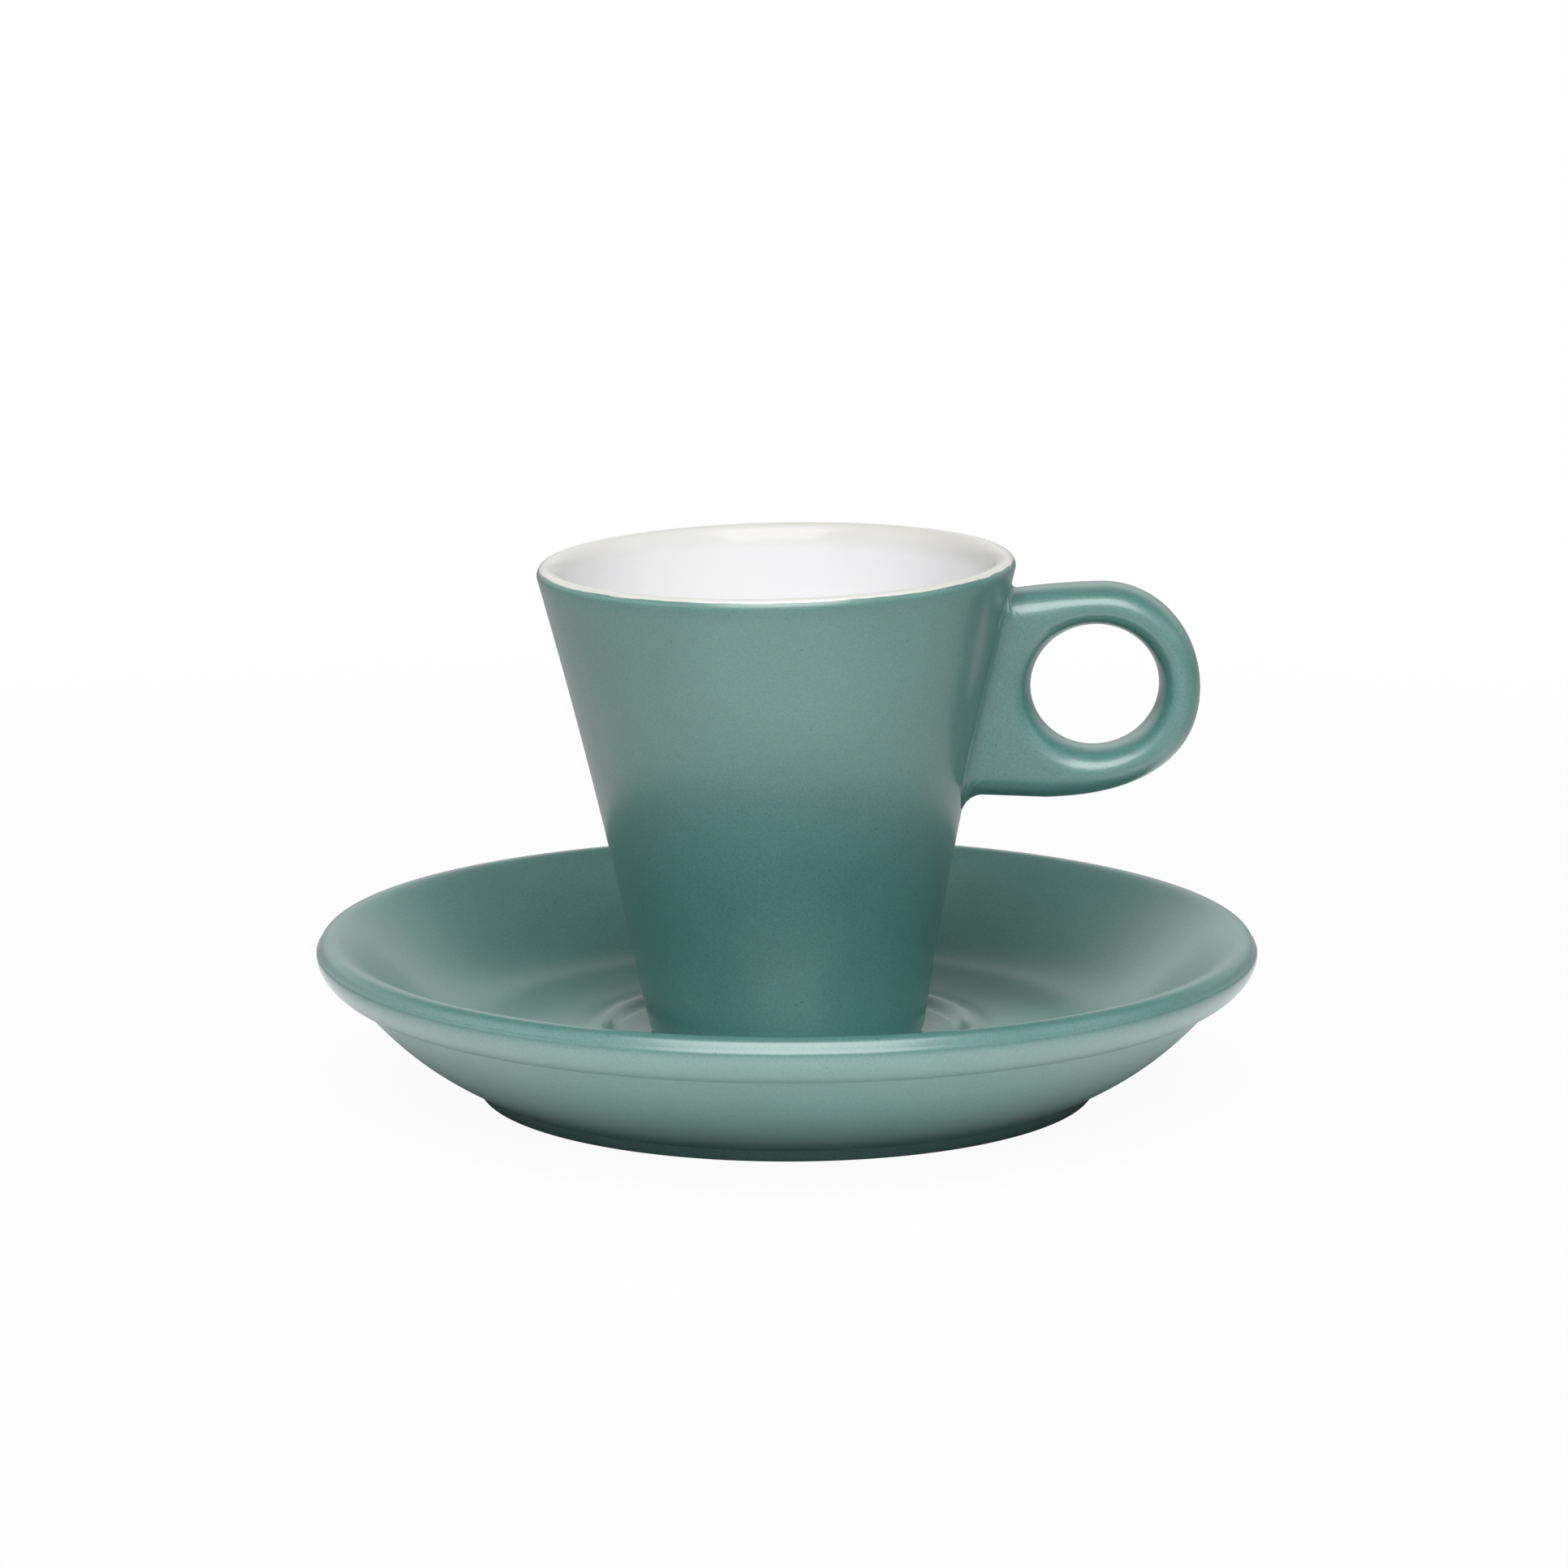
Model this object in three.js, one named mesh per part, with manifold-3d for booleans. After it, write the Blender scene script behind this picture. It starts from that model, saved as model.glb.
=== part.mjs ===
// Espresso cup standing on its saucer: glazed stoneware, green outside, with a white lining in the cup.
// Millimetres, +Z up. The origin is on the table, in the middle of the saucer's foot ring.
// The cup's handle points along +X.
import * as THREE from "three";
import { mergeVertices } from "three/addons/utils/BufferGeometryUtils.js";
import Module from "manifold-3d";

// Saucer: overall sizes
const SAUCER_RADIUS = 60;
const SAUCER_HEIGHT = 20.2;
const DISH_FLOOR = 8.2; // height of the dish's flat floor above the table
const DISH_SIDE_RUN = 12; // from the top of the dish's sloping side in to the corner at its foot
const DISH_BLEND = 6; // length of the curve on each side of that corner
const BELLY = 6.2; // how far the underside stands out from that corner

// Saucer: rolled rim
const RIM_THICKNESS = 4.5; // from the widest point in to the dish side
const RIM_CREST = 2.4; // from the widest point in to the crest
const RIM_UPPER = 1.85; // from the crest down to the widest point
const RIM_LOWER = 4.3; // from the widest point down to the ledge under the rim
const RIM_OVERHANG = 3.85; // from the widest point in to the ledge's edge
const RIM_LEDGE = 0.6; // width of the ledge
const RIM_SHOULDER = 0.8; // from the crest down to the top of the dish side

// Saucer: foot ring
const SAUCER_FOOT_SETBACK = 4.1; // from the dish's corner in to the ring's outer face
const SAUCER_FOOT_WIDTH = 5;
const SAUCER_FOOT_RECESS = 2.4; // depth of the hollow under the saucer
const SAUCER_FOOT_RISE = 1.5; // height of the ring's outer face
const SAUCER_FOOT_DRAFT = 0.3; // slope of the ring's sides, across
const FOOT_ROUND = 0.5; // rounding of the edges that meet the table

// Saucer: well that keeps the cup in place
const WELL_DEPTH = 0.9; // below the dish floor
const WELL_PLAY = 3.9; // gap all round between the cup's foot and the well's side
const WELL_SIDE = 2.3; // width of the well's sloping side
const RIDGE_HEIGHT = 0.2; // low ridge around the well, above the dish floor
const RIDGE_RUN = 4; // width of the ridge's outer slope

// Cup: heights are measured from its foot
const CUP_HEIGHT = 61.1;
const CUP_FOOT_RADIUS = 17.4;
const CUP_LIP_RADIUS = 30.3;
const CUP_SIDE_DRAW = 1.25; // how far the side's control point draws in from a straight cone
const CUP_FLOOR = 6; // height of the floor inside
const CUP_WALL = 3.6; // thickness of the side at the floor
const LIP_THICKNESS = 2.8;
const LIP_CROWN = 1.3; // height of the rounded lip above the widest point
const INSIDE_CORNER = 9; // size of the curve between the floor and the side inside
const LINING = 0.4; // thickness of the white lining
const CUP_FOOT_WIDTH = 3.6;
const CUP_FOOT_RECESS = 1.5;
const CUP_LEAN = 1.3; // degrees that the cup tips away from its handle, as it settled in the kiln
const LEAN_RISE = 6; // height above the flat foot over which the wall takes up that lean

// Handle: a slab with a round end and a finger hole in it
const HANDLE_REACH = 23.1; // beyond the cup's lip
const HANDLE_DROP = 3.7; // from the top of the cup down to the handle
const HANDLE_HEIGHT = 27.5;
const HANDLE_THICKNESS = 10.7;
const HANDLE_EDGE = 2.4; // rounding of the slab's edges
const HANDLE_SLOPE = 0.6; // how far the upper and lower edges close in towards the cup
const HANDLE_FILLET = 2.4; // curve where the upper and lower edges meet the cup
const HOLE_RADIUS = 8.1;
const HOLE_RAISE = 0.5; // how far the hole sits above the middle of the round end
const SEAM = 0.3; // line of slip between the handle and the cup

// The largest share of a wall that a rounding or a blend may take from each side
const ROUNDING_SHARE = 0.45;

// Fineness of the curves
const SAUCER_SIDES = 64;
const CUP_SIDES = 48;
const CURVE_STEPS = 4;
const HANDLE_STEPS = 12;
const EDGE_STEPS = 3;
const MERGE_DISTANCE = 1e-4;

const cupSeat = DISH_FLOOR - WELL_DEPTH;
const lipWidest = CUP_HEIGHT - LIP_CROWN;

const wasm = await Module();
wasm.setup();

const greenGlaze = new THREE.MeshStandardMaterial({ color: 0x6d988d, roughness: 0.45, metalness: 0 });
const whiteGlaze = new THREE.MeshStandardMaterial({ color: 0xf0f0ea, roughness: 0.12, metalness: 0 });

// A solid turned about +Z from an outline of (radius, height) points.
function turned(points, sides) {
  const geometry = new THREE.LatheGeometry(points, sides);
  return geometry.rotateX(Math.PI / 2);
}

// The same geometry as a closed solid that can be cut.
function solidOf(geometry) {
  const bare = geometry.index ? geometry.toNonIndexed() : geometry.clone();
  bare.deleteAttribute("normal");
  bare.deleteAttribute("uv");
  const merged = mergeVertices(bare, MERGE_DISTANCE);
  const corners = merged.index.array;
  const kept = [];
  for (let i = 0; i < corners.length; i += 3) {
    const [a, b, c] = corners.slice(i, i + 3);
    if (a !== b && b !== c && c !== a) kept.push(a, b, c);
  }
  const vertProperties = new Float32Array(merged.attributes.position.array);
  const triVerts = new Uint32Array(kept);
  return new wasm.Manifold(new wasm.Mesh({ numProp: 3, vertProperties, triVerts }));
}

function geometryOf(solid) {
  const { vertProperties, triVerts } = solid.getMesh();
  const geometry = new THREE.BufferGeometry();
  geometry.setAttribute("position", new THREE.BufferAttribute(vertProperties, 3));
  geometry.setIndex(new THREE.BufferAttribute(triVerts, 1));
  geometry.computeVertexNormals();
  return geometry;
}

function piece(name, geometry, material) {
  const mesh = new THREE.Mesh(geometry, material.clone());
  mesh.name = name;
  return mesh;
}

// Saucer, from the middle of its underside round the rim to the middle of the well.
function saucerGeometry() {
  const widestZ = SAUCER_HEIGHT - RIM_UPPER;
  const ledgeZ = widestZ - RIM_LOWER;
  const ledgeR = SAUCER_RADIUS - RIM_OVERHANG;
  const crestR = SAUCER_RADIUS - RIM_CREST;
  const wellR = CUP_FOOT_RADIUS + WELL_PLAY;
  const ridgeR = wellR + WELL_SIDE;
  const ridgeZ = DISH_FLOOR + RIDGE_HEIGHT;
  const sideTop = new THREE.Vector2(SAUCER_RADIUS - RIM_THICKNESS, SAUCER_HEIGHT - RIM_SHOULDER);
  const corner = new THREE.Vector2(sideTop.x - DISH_SIDE_RUN, DISH_FLOOR);
  const footR = corner.x - SAUCER_FOOT_SETBACK;
  const footIn = footR - SAUCER_FOOT_WIDTH;
  const floorWidth = corner.x - ridgeR - RIDGE_RUN;
  const blend = Math.min(DISH_BLEND, 2 * ROUNDING_SHARE * floorWidth);
  const along = sideTop.clone().sub(corner).normalize();
  const outward = new THREE.Vector2(along.y, -along.x);
  const belly = corner.clone().addScaledVector(outward, BELLY);
  const blendTop = corner.clone().addScaledVector(along, blend);

  const outline = new THREE.Path();
  outline.moveTo(0, SAUCER_FOOT_RECESS);
  outline.lineTo(footIn - SAUCER_FOOT_DRAFT, SAUCER_FOOT_RECESS);
  outline.lineTo(footIn, FOOT_ROUND);
  outline.lineTo(footIn + FOOT_ROUND, 0);
  outline.lineTo(footR - FOOT_ROUND, 0);
  outline.lineTo(footR, FOOT_ROUND);
  outline.lineTo(footR + SAUCER_FOOT_DRAFT, SAUCER_FOOT_RISE);
  outline.quadraticCurveTo(belly.x, belly.y, ledgeR - RIM_LEDGE, ledgeZ);
  outline.lineTo(ledgeR, ledgeZ);
  outline.absellipse(ledgeR, widestZ, RIM_OVERHANG, RIM_LOWER, -Math.PI / 2, 0, false);
  outline.absellipse(crestR, widestZ, RIM_CREST, RIM_UPPER, 0, Math.PI / 2, false);
  outline.quadraticCurveTo(sideTop.x, SAUCER_HEIGHT, sideTop.x, sideTop.y);
  outline.lineTo(blendTop.x, blendTop.y);
  outline.quadraticCurveTo(corner.x, corner.y, corner.x - blend, DISH_FLOOR);
  outline.lineTo(ridgeR + RIDGE_RUN, DISH_FLOOR);
  outline.quadraticCurveTo(ridgeR + RIDGE_RUN / 2, ridgeZ, ridgeR, ridgeZ);
  outline.quadraticCurveTo(ridgeR - WELL_SIDE / 2, cupSeat, wellR, cupSeat);
  outline.lineTo(0, cupSeat);
  return turned(outline.getPoints(CURVE_STEPS), SAUCER_SIDES);
}

// The cup's outer radius at a height above its foot: a gentle trumpet from the foot to the lip.
function cupRadius(height) {
  const t = height / lipWidest;
  const middle = (CUP_FOOT_RADIUS + CUP_LIP_RADIUS) / 2 - CUP_SIDE_DRAW;
  return (1 - t) ** 2 * CUP_FOOT_RADIUS + 2 * t * (1 - t) * middle + t ** 2 * CUP_LIP_RADIUS;
}

// The radius of the white inside, with the wall thinning from the floor to the lip.
function insideRadius(height) {
  const share = (height - CUP_FLOOR) / (lipWidest - CUP_FLOOR);
  return cupRadius(height) - CUP_WALL - (LIP_THICKNESS - CUP_WALL) * share;
}

// Points up the cup's outside, from one height to another, grown by a margin.
function outsidePoints(from, to, margin) {
  const points = [];
  for (let i = 0; i <= CURVE_STEPS; i += 1) {
    const height = from + ((to - from) * i) / CURVE_STEPS;
    points.push(new THREE.Vector2(cupRadius(height) + margin, height));
  }
  return points;
}

// Points over the lip and down the inside to the axis, set back by a depth into the wall.
function insidePoints(depth) {
  const path = new THREE.Path();
  const lipMiddle = CUP_LIP_RADIUS - LIP_THICKNESS / 2;
  const floor = CUP_FLOOR - depth;
  const cornerTop = CUP_FLOOR + INSIDE_CORNER;
  path.absellipse(lipMiddle, lipWidest, LIP_THICKNESS / 2 - depth, LIP_CROWN - depth, 0, Math.PI, false);
  for (let i = 1; i <= CURVE_STEPS; i += 1) {
    const height = lipWidest + ((cornerTop - lipWidest) * i) / CURVE_STEPS;
    path.lineTo(insideRadius(height) + depth, height);
  }
  const floorR = insideRadius(CUP_FLOOR) + depth;
  path.quadraticCurveTo(floorR, floor, floorR - INSIDE_CORNER, floor);
  path.lineTo(0, floor);
  return path.getPoints(CURVE_STEPS);
}

// Tips a piece of the cup away from the handle, and leaves the foot flat.
function leaned(geometry) {
  const corners = geometry.attributes.position;
  for (let i = 0; i < corners.count; i += 1) {
    const x = corners.getX(i);
    const z = corners.getZ(i);
    const turn = THREE.MathUtils.degToRad(CUP_LEAN) * THREE.MathUtils.smoothstep(z, 0, LEAN_RISE);
    corners.setX(i, x * Math.cos(turn) - z * Math.sin(turn));
    corners.setZ(i, z * Math.cos(turn) + x * Math.sin(turn));
  }
  geometry.computeVertexNormals();
  return geometry;
}

// Clay body of the cup, from the middle of its underside up the outside and down the inside.
function cupBodyGeometry() {
  const footIn = CUP_FOOT_RADIUS - CUP_FOOT_WIDTH;
  const points = [
    new THREE.Vector2(0, CUP_FOOT_RECESS),
    new THREE.Vector2(footIn - FOOT_ROUND, CUP_FOOT_RECESS),
    new THREE.Vector2(footIn, 0),
    new THREE.Vector2(CUP_FOOT_RADIUS - FOOT_ROUND, 0),
    ...outsidePoints(FOOT_ROUND, lipWidest, 0),
    ...insidePoints(LINING),
  ];
  return turned(points, CUP_SIDES);
}

// White lining: a thin coat over the inside and the top of the lip.
function cupLiningGeometry() {
  const inner = insidePoints(0);
  const outer = insidePoints(LINING);
  return turned([...outer.reverse(), ...inner], CUP_SIDES);
}

// Handle: a rounded slab in the XZ plane, cut to the cup's side.
function handleGeometry() {
  const top = CUP_HEIGHT - HANDLE_DROP;
  const bottom = top - HANDLE_HEIGHT;
  const endRadius = HANDLE_HEIGHT / 2;
  const endX = CUP_LIP_RADIUS + HANDLE_REACH - endRadius;
  const endZ = bottom + endRadius;
  const thinnest = Math.min(endRadius - HOLE_RADIUS - HOLE_RAISE, HANDLE_THICKNESS);
  const edge = Math.min(HANDLE_EDGE, ROUNDING_SHARE * thinnest);
  const topJoin = top - HANDLE_SLOPE;
  const bottomJoin = bottom + HANDLE_SLOPE;
  const topWall = cupRadius(topJoin);
  const bottomWall = cupRadius(bottomJoin);
  const filletTop = topJoin + HANDLE_FILLET;
  const filletBottom = bottomJoin - HANDLE_FILLET;
  const slabTop = filletTop + 2 * edge;
  const slabBottom = filletBottom - 2 * edge;

  const outline = new THREE.Shape();
  outline.moveTo(0, slabBottom);
  outline.lineTo(cupRadius(slabBottom), slabBottom);
  outline.lineTo(cupRadius(filletBottom), filletBottom);
  outline.quadraticCurveTo(bottomWall, bottomJoin, bottomWall + HANDLE_FILLET, bottomJoin);
  outline.absarc(endX, endZ, endRadius, -Math.PI / 2, Math.PI / 2, false);
  outline.lineTo(topWall + HANDLE_FILLET, topJoin);
  outline.quadraticCurveTo(topWall, topJoin, cupRadius(filletTop), filletTop);
  outline.lineTo(cupRadius(filletTop), slabTop);
  outline.lineTo(0, slabTop);
  const hole = new THREE.Path();
  hole.absarc(endX, endZ + HOLE_RAISE, HOLE_RADIUS, 0, 2 * Math.PI, true);
  outline.holes.push(hole);

  const slab = new THREE.ExtrudeGeometry(outline, {
    depth: HANDLE_THICKNESS - 2 * edge,
    curveSegments: HANDLE_STEPS,
    bevelThickness: edge,
    bevelSize: edge,
    bevelOffset: -edge,
    bevelSegments: EDGE_STEPS,
  });
  slab.translate(0, 0, edge - HANDLE_THICKNESS / 2);
  slab.rotateX(Math.PI / 2);
  const above = CUP_HEIGHT + slabTop;
  const side = [
    new THREE.Vector2(0, 0),
    ...outsidePoints(0, lipWidest, SEAM),
    new THREE.Vector2(CUP_LIP_RADIUS + SEAM, above),
    new THREE.Vector2(0, above),
  ];
  return geometryOf(solidOf(slab).subtract(solidOf(turned(side, CUP_SIDES))));
}

const cup = new THREE.Group();
cup.position.z = cupSeat;
cup.add(piece("cup_body", leaned(cupBodyGeometry()), greenGlaze));
cup.add(piece("cup_lining", leaned(cupLiningGeometry()), whiteGlaze));
cup.add(piece("cup_handle", leaned(handleGeometry()), greenGlaze));

const cupAndSaucer = new THREE.Group();
cupAndSaucer.add(piece("saucer", saucerGeometry(), greenGlaze));
cupAndSaucer.add(cup);

export default cupAndSaucer;
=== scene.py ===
import math

import bmesh
import bpy
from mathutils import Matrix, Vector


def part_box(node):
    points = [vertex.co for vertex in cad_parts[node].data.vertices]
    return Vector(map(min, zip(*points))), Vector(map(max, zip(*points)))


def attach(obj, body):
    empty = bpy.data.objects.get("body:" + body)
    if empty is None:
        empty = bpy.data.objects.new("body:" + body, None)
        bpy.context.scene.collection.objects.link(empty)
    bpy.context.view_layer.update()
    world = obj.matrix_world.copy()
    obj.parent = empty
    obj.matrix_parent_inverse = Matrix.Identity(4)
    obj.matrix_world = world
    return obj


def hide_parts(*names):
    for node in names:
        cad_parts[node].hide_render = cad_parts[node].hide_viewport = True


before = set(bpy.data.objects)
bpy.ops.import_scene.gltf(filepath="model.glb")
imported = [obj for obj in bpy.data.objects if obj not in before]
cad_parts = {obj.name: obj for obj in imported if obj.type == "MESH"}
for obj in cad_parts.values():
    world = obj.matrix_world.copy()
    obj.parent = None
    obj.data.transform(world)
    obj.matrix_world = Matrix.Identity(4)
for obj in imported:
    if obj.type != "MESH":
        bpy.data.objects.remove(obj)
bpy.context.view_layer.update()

# Sizes are in metres. MM turns a size in millimetres into metres.
MM = 0.001

# Sizes read from the frame
saucer_low, saucer_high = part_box("saucer")
cup_low, cup_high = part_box("cup_body")
handle_low, handle_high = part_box("cup_handle")
SAUCER_RADIUS = saucer_high.x
SAUCER_TOP = saucer_high.z
CUP_SEAT = cup_low.z
LIP_RADIUS = cup_high.y
HANDLE_HALF = handle_high.y

# Saucer: the foot ring and the belly, whose curve is pulled by two points of (radius, height)
SAUCER_FOOT_RADIUS = 39.4 * MM
SAUCER_FOOT_WIDTH = 5 * MM
SAUCER_FOOT_RISE = 1.5 * MM
SAUCER_FOOT_RECESS = 2.4 * MM
SAUCER_FOOT_FLARE = 0.25 * MM
FOOT_EDGE = 0.5 * MM
BELLY_LOW = (46.2 * MM, 4.7 * MM)
BELLY_HIGH = (50.1 * MM, 7.35 * MM)

# Saucer: the rolled rim, measured from its widest and highest points
RIM_CREST = 2.0 * MM
RIM_UPPER = 1.85 * MM
RIM_LOWER = 4.3 * MM
RIM_DOME = 1.3 * MM
RIM_EDGE = 0.25 * MM
RIM_BEND = 0.6 * MM
RIM_OVERHANG = 3.85 * MM
RIM_INNER = 4.5 * MM
RIM_SHOULDER = 0.8 * MM
RIM_ROLL = 1.3 * MM
RIM_WIDEST = SAUCER_TOP - RIM_UPPER
SHOULDER_EASE = 0.9 * MM
SHOULDER_RUN = 3.2 * MM

# Saucer: the fine ledge under the rim, and the rim's outer face that rises from it
LEDGE_Z = RIM_WIDEST - RIM_LOWER
LEDGE_RADIUS = SAUCER_RADIUS - RIM_OVERHANG
LEDGE_START = 0.35 * MM
LEDGE_FLAT = 0.15 * MM
LEDGE_TURN = 0.2 * MM
LEDGE_LIFT = 0.05 * MM
FACE_RADIUS = 57.6 * MM
FACE_LOW = 0.33 * MM
FACE_HIGH = 2.1 * MM

# Saucer: the dish and its well
DISH_FLOOR = 8.2 * MM
DISH_SIDE_RUN = 12 * MM
DISH_BLEND = 8 * MM
SIDE_TOP = (SAUCER_RADIUS - RIM_INNER, SAUCER_TOP - RIM_SHOULDER)
DISH_CORNER = (SIDE_TOP[0] - DISH_SIDE_RUN, DISH_FLOOR)
WELL_RADIUS = 21.3 * MM
WELL_SIDE = 2.3 * MM
RIDGE_HEIGHT = 0.2 * MM
RIDGE_RUN = 4 * MM
RIDGE_EDGE = 0.35 * MM

# Cup, before it leans: heights are above its foot
CUP_HEIGHT = 61.1 * MM
CUP_FOOT_RADIUS = 17.4 * MM
CUP_SIDE_DRAW = 1.25 * MM
CUP_FOOT_EDGE = 1.4 * MM
CUP_FOOT_FLAT = 1.12 * MM
CUP_FOOT_PULL = 0.1 * MM
CUP_FOOT_WIDTH = 3.6 * MM
CUP_FOOT_RECESS = 1.5 * MM
CUP_FLOOR = 6 * MM
CUP_WALL = 3.6 * MM
LIP_THICKNESS = 2.8 * MM
LIP_CROWN = 1.3 * MM
LIP_OUTER = 1.1 * MM
LIP_INNER = 2.6 * MM
LIP_EASE = 1.3 * MM
COAT_EDGE = math.radians(58)
INSIDE_CORNER = 9 * MM
LINING = 0.4 * MM
LIP_WIDEST = CUP_HEIGHT - LIP_CROWN
LIP_TOP = CUP_SEAT + CUP_HEIGHT
CUP_LEAN = math.radians(1.3)
LEAN_RISE = 6 * MM

# Handle, before it leans with the cup: a thick loop with a round finger hole, in the XZ plane
HANDLE_END = LIP_RADIUS + 23.1 * MM
HOLE_X = 40.07 * MM
HOLE_Z = 51.5 * MM
HOLE_ACROSS = 8.17 * MM
HOLE_UP = 7.97 * MM
LOOP_RADIUS = 13.25 * MM
LOOP_Z = 51.25 * MM
LOOP_ACROSS = 12.2 * MM
LOOP_X = HANDLE_END - LOOP_ACROSS
HANDLE_BOTTOM = 37.3 * MM
BOTTOM_END = 33.5 * MM
BOTTOM_PULL = 46.6 * MM
END_PULL = 42.7 * MM
BOTTOM_SLOPE = 0.06
TOP_PULL = 35.5 * MM
KNEE_X = 31.4 * MM
KNEE_DROP = 0.45 * MM
TOP_SLOPE = 0.1

# Handle: its section, a squarish oval, and the hollow curve that joins it to the cup's wall
EDGE_REACH = 3.3 * MM
EDGE_SHARE = 0.48
EDGE_OVAL = 2.4
LEAST_SQUARE = 0.6
HANDLE_SINK = 1.2 * MM
FILLET_SIDE = 1.8 * MM
FILLET_TOP = 1.2 * MM
FILLET_BOTTOM = 2.3 * MM
FILLET_MARGIN = 0.4 * MM
WALL_BAND = FILLET_SIDE + HANDLE_SINK + FILLET_MARGIN

# Finishes: how far apart a pattern repeats, in millimetres, and how deep its relief is. The glaze's
# crystals are finer than GLAZE_GRAIN, which is as coarse as the grain needs to be to show.
GLAZE_CLOUD = 18
GLAZE_GRAIN = 0.22
GRAIN_DEPTH = 0.035 * MM
PINHOLE_SPACING = 3
LIP_LINE_WAVE = 6
LIP_LINE_RISE = 0.5 * MM
LIP_LINE_BLUR = 0.1 * MM
LIP_CREAM = 3 * MM
WHITE_CLOUD = 12
WHITE_WAVE = 5
WAVE_DEPTH = 0.03 * MM
CLAY_GRIT = 0.5
GRIT_DEPTH = 0.1 * MM
WIPE_HEIGHT = 0.1 * MM

# Floor: the paper's tone by distance from the middle, with painted shade near the foot and a painted
# fall-off of light far out, and its white to the camera
FLOOR_SIZE = 8
FLOOR_GAP = 0.02 * MM
PAPER_TONE = 0.84
FAR_SHADE_TONE = 0.75
PAPER_END = 180 * MM
SHADE_TONE = 0.48
SHADE_START = 34 * MM
SHADE_END = 66 * MM
SHADE_WHITE = 0.95
WHITE_START = 400 * MM

# Floor: the ring of painted light that the gloss sees on it, where the softbox would fall, strongest in front
GLEAM = 1.32
GLEAM_NEAR = 36 * MM
GLEAM_START = 80 * MM
GLEAM_FADE = 88 * MM
GLEAM_END = 130 * MM
GLEAM_SIDE = 0.32
GLEAM_FAR = 0.05

# Room: tones by direction, where a height or a side is a part of a unit length
ROOM_TONE = 0.12
SWEEP_LEFT = 0.8
SWEEP_RIGHT = 0.3
SWEEP_FADE = 0.33
SWEEP_TOP = 0.76
SWEEP_BEHIND = 0.3
BEHIND_START = 0.3
BEHIND_FULL = 0.95
HORIZON_TONE = 0.5
HORIZON_LOW = 0.08
HORIZON_HIGH = 0.26
FLANK_LIGHT = 1.25
FLANK_WIDE = 0.62
FLANK_FULL = 0.88
FLANK_LOW = 0.1
FLANK_HIGH = 0.6
FLANK_BACK = 0.3
SWEEP_GLOW = 0.42
SWEEP_FILL = 0.03
CEILING_FILL = 0.38
CEILING_START = 0.45

# Softbox, aimed at the middle of the saucer
BOX_WIDTH = 1.0
BOX_HEIGHT = 1.0
BOX_POWER = 14.0
BOX_DISTANCE = 1.1
BOX_ASIDE = math.radians(1)
BOX_UP = math.radians(53)

# Camera, placed so that the object's outlines fall where the photograph has them
CAMERA_PLACE = (-0.36 * MM, -857.9 * MM, 211.96 * MM)
CAMERA_DOWN = math.radians(11.37)
CAMERA_LENS = 157.96
CAMERA_SENSOR = 36

# Fineness of the meshes
SAUCER_SIDES = 192
CUP_SIDES = 144
CURVE_STEPS = 10
EDGE_STEPS = 5
FLOOR_STEPS = 4
LEDGE_STEPS = 3
FLAT_STEPS = 2
WALL_STEPS = 36
BOTTOM_STEPS = 30
LOWER_STEPS = 40
UPPER_STEPS = 28
KNEE_STEPS = 12
MIDDLE_STEPS = 4
ROUND_STEPS = 14
MERGE = 0.0005 * MM
SMOOTH_ANGLE = math.radians(38)


def linear(hex_code):
    """An sRGB hex colour as the linear colour that a socket takes."""
    parts = [int(hex_code[i:i + 2], 16) / 255 for i in (1, 3, 5)]
    return [c / 12.92 if c <= 0.04045 else ((c + 0.055) / 1.055) ** 2.4 for c in parts] + [1]


def per_mm(size):
    """The scale of a texture whose pattern repeats about every size millimetres."""
    return 1 / (size * MM)


def add(tree, kind, inputs, **settings):
    """A node with its settings. An input is a number, a colour or the socket that feeds it.
    Sockets that share a name go by number: a MapRange takes 0 from between 1 and 2 to between
    3 and 4, and a colour Mix goes from 6 to 7 by the share 0."""
    made = tree.nodes.new("ShaderNode" + kind)
    for name, value in settings.items():
        setattr(made, name, value)
    for name, value in inputs.items():
        if isinstance(value, bpy.types.NodeSocket):
            tree.links.new(value, made.inputs[name])
        else:
            made.inputs[name].default_value = value
    return made


def new_material(name):
    material = bpy.data.materials.new(name)
    material.use_nodes = True
    material.node_tree.nodes.clear()
    return material, material.node_tree


def bend(controls, steps):
    """Points along a curve drawn by its control points, without the first one."""
    path = []
    for step in range(1, steps + 1):
        share = step / steps
        points = list(controls)
        while len(points) > 1:
            points = [
                tuple(a + (b - a) * share for a, b in zip(p, q)) for p, q in zip(points, points[1:])
            ]
        path.append(points[0])
    return path


def toward(start, end, distance):
    """The point that lies a distance from one point, on the way to another."""
    share = distance / math.dist(start, end)
    return tuple(a + (b - a) * share for a, b in zip(start, end))


def deselect_all():
    if bpy.context.object and bpy.context.object.mode != "OBJECT":
        bpy.ops.object.mode_set(mode="OBJECT")
    bpy.ops.object.select_all(action="DESELECT")


def finish_mesh(piece):
    """Merges what coincides, turns the faces outwards and shades the piece smooth."""
    bpy.ops.mesh.select_all(action="SELECT")
    bpy.ops.mesh.remove_doubles(threshold=MERGE)
    bpy.ops.mesh.normals_make_consistent(inside=False)
    bpy.ops.object.mode_set(mode="OBJECT")
    bpy.ops.object.shade_smooth_by_angle(angle=SMOOTH_ANGLE)
    return piece


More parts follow.
